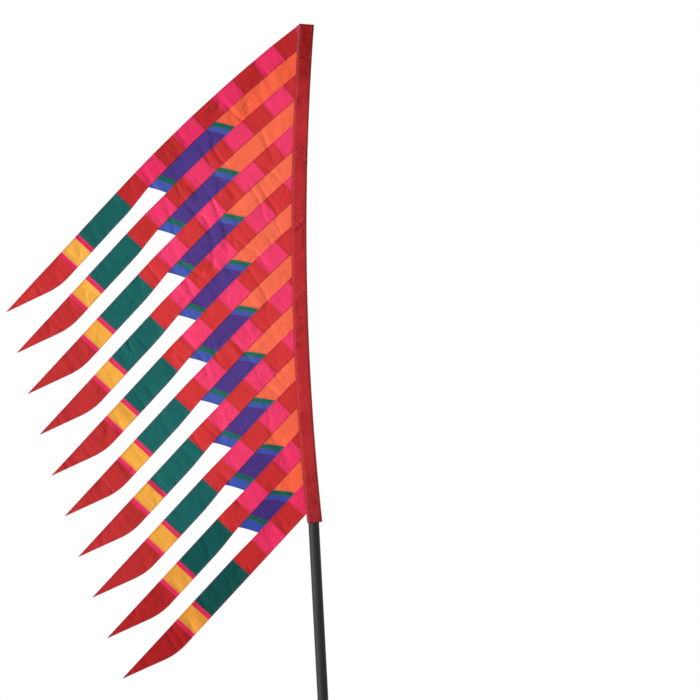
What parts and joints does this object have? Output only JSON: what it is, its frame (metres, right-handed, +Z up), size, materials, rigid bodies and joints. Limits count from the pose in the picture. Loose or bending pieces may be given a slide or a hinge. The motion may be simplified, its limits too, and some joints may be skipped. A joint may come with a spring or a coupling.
{
  "type": "feather flag with pole",
  "caption": "Wing-shaped patchwork banner of checked streamers with knife-cut tails, sleeved on a bowed pole that turns on a ground spike.",
  "frame": {"origin": "on the pole's axis at ground level, at the underside of the spike's foot plate", "axes": "+Z up the pole, -X towards the cloth and its tails, Y through the cloth; the cloth's front faces -Y"},
  "size_m": [0.9425, 0.07, 2.9436],
  "materials": {
    "streamer_cloth": "ripstop nylon, red and pink checks",
    "tail_cloth": "ripstop nylon, red, green, pink and yellow",
    "infill_cloth": "ripstop nylon, orange, green, blue and purple",
    "sleeve_cloth": "ripstop nylon, crimson",
    "charcoal_tube": "matt charcoal anodised tube",
    "spike_steel": "galvanised steel",
    "zinc_steel": "bright zinc plate",
    "nylon": "natural nylon",
    "black_rubber": "moulded rubber"
  },
  "bodies": {
    "ground": {"ground_spike": "spike_steel", "foot_plate": "spike_steel", "thrust_washer": "nylon", "retaining_clip": "zinc_steel"},
    "spindle": {"spindle": "zinc_steel", "lower_bush": "nylon", "upper_bush": "nylon", "spindle_cap": "black_rubber", "grip_ring_lower": "black_rubber", "grip_ring_upper": "black_rubber"},
    "mast": {"pole_foot_collar": "black_rubber", "pole_lower": "charcoal_tube", "joint_plug_lower": "zinc_steel", "pole_middle": "charcoal_tube", "joint_plug_upper": "zinc_steel", "pole_tip": "charcoal_tube", "pole_tip_cap": "black_rubber", "sleeve": "sleeve_cloth", "sleeve_top_patch": "sleeve_cloth", "streamer_1": "streamer_cloth", "streamer_2": "streamer_cloth", "streamer_3": "streamer_cloth", "streamer_4": "streamer_cloth", "streamer_5": "streamer_cloth", "streamer_6": "streamer_cloth", "streamer_7": "streamer_cloth", "streamer_8": "streamer_cloth", "streamer_9": "streamer_cloth", "streamer_10": "streamer_cloth", "infill_1": "infill_cloth", "infill_2": "infill_cloth", "infill_3": "infill_cloth", "infill_4": "infill_cloth", "infill_5": "infill_cloth", "infill_6": "infill_cloth", "infill_7": "infill_cloth", "infill_8": "infill_cloth", "infill_9": "infill_cloth"},
    "tail_1": {"tail_1": "tail_cloth"},
    "tail_2": {"tail_2": "tail_cloth"},
    "tail_3": {"tail_3": "tail_cloth"},
    "tail_4": {"tail_4": "tail_cloth"},
    "tail_5": {"tail_5": "tail_cloth"},
    "tail_6": {"tail_6": "tail_cloth"},
    "tail_7": {"tail_7": "tail_cloth"},
    "tail_8": {"tail_8": "tail_cloth"},
    "tail_9": {"tail_9": "tail_cloth"},
    "tail_10": {"tail_10": "tail_cloth"}
  },
  "joints": [
    {"name": "mast_swivel", "type": "hinge", "parent": "ground", "child": "spindle", "pos_m": [0, 0, 0.1], "axis": [0, 0, 1], "continuous": true},
    {"name": "mast_lift", "type": "slide", "parent": "spindle", "child": "mast", "axis": [0, 0, 1], "range_m": [0, 0.2]},
    {"name": "tail_1_swing", "type": "hinge", "parent": "mast", "child": "tail_1", "pos_m": [-0.45048, 0, 2.00504], "axis": [0.6851, 0, -0.7284], "range_deg": [-75, 75]},
    {"name": "tail_2_swing", "type": "hinge", "parent": "mast", "child": "tail_2", "pos_m": [-0.43098, 0, 1.87936], "axis": [0.6906, 0, -0.7232], "range_deg": [-75, 75]},
    {"name": "tail_3_swing", "type": "hinge", "parent": "mast", "child": "tail_3", "pos_m": [-0.40956, 0, 1.75351], "axis": [0.6953, 0, -0.7187], "range_deg": [-75, 75]},
    {"name": "tail_4_swing", "type": "hinge", "parent": "mast", "child": "tail_4", "pos_m": [-0.38627, 0, 1.62752], "axis": [0.6982, 0, -0.7159], "range_deg": [-75, 75]},
    {"name": "tail_5_swing", "type": "hinge", "parent": "mast", "child": "tail_5", "pos_m": [-0.3612, 0, 1.50146], "axis": [0.6984, 0, -0.7157], "range_deg": [-75, 75]},
    {"name": "tail_6_swing", "type": "hinge", "parent": "mast", "child": "tail_6", "pos_m": [-0.33434, 0, 1.37547], "axis": [0.6984, 0, -0.7157], "range_deg": [-75, 75]},
    {"name": "tail_7_swing", "type": "hinge", "parent": "mast", "child": "tail_7", "pos_m": [-0.30562, 0, 1.24954], "axis": [0.6984, 0, -0.7157], "range_deg": [-75, 75]},
    {"name": "tail_8_swing", "type": "hinge", "parent": "mast", "child": "tail_8", "pos_m": [-0.27502, 0, 1.12365], "axis": [0.6984, 0, -0.7157], "range_deg": [-75, 75]},
    {"name": "tail_9_swing", "type": "hinge", "parent": "mast", "child": "tail_9", "pos_m": [-0.24249, 0, 0.9978], "axis": [0.6984, 0, -0.7157], "range_deg": [-75, 75]},
    {"name": "tail_10_swing", "type": "hinge", "parent": "mast", "child": "tail_10", "pos_m": [-0.20829, 0, 0.87228], "axis": [0.6984, 0, -0.7157], "range_deg": [-75, 75]}
  ]
}
